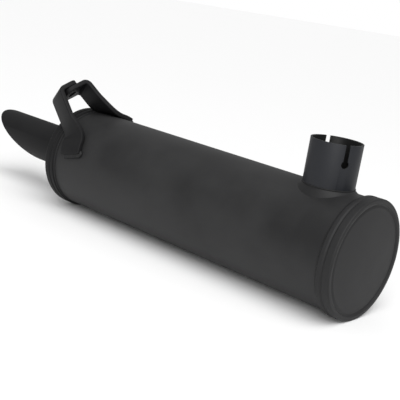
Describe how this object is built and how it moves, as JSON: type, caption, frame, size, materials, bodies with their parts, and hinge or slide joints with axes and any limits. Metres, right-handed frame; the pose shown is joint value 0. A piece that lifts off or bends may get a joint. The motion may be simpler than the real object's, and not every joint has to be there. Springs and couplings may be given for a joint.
{
  "type": "exhaust muffler",
  "caption": "Round absorption muffler in satin black paint with a slotted side inlet, a hanger of two lapped bent straps near the rear and a slash-cut tail pipe.",
  "frame": {"origin": "centre of the mouth of the inlet stub", "axes": "+Z out of the inlet along its axis, +X along the body from the inlet towards the front cap, so the tail pipe points to -X"},
  "size_m": [0.4942, 0.1061, 0.1412],
  "materials": {
    "black_paint": "satin black heat-resistant paint, faint texture",
    "black_paint_on_weld": "satin black paint over a rippled weld bead",
    "bare_steel": "bare mild steel with a dull mill surface",
    "steel_wool": "fine stainless steel wool",
    "glass_packing": "matted glass fibre"
  },
  "bodies": {
    "root": {"shell": "black_paint", "shell_seam_weld": "black_paint_on_weld", "front_cap": "black_paint", "rear_cap": "black_paint", "front_cap_weld": "black_paint_on_weld", "rear_cap_weld": "black_paint_on_weld", "inlet_stub": "black_paint", "inlet_collar": "black_paint", "inlet_weld": "black_paint_on_weld", "tail_pipe": "black_paint", "tail_pipe_weld": "black_paint_on_weld", "near_strap": "black_paint", "far_strap": "black_paint", "lap_weld": "black_paint_on_weld", "near_foot_weld": "black_paint_on_weld", "far_foot_weld": "black_paint_on_weld", "front_baffle": "bare_steel", "middle_baffle": "bare_steel", "rear_baffle": "bare_steel", "core_tube": "bare_steel", "core_tube_weld": "bare_steel", "front_wool": "steel_wool", "rear_wool": "steel_wool", "front_packing": "glass_packing", "rear_packing": "glass_packing"}
  },
  "joints": []
}
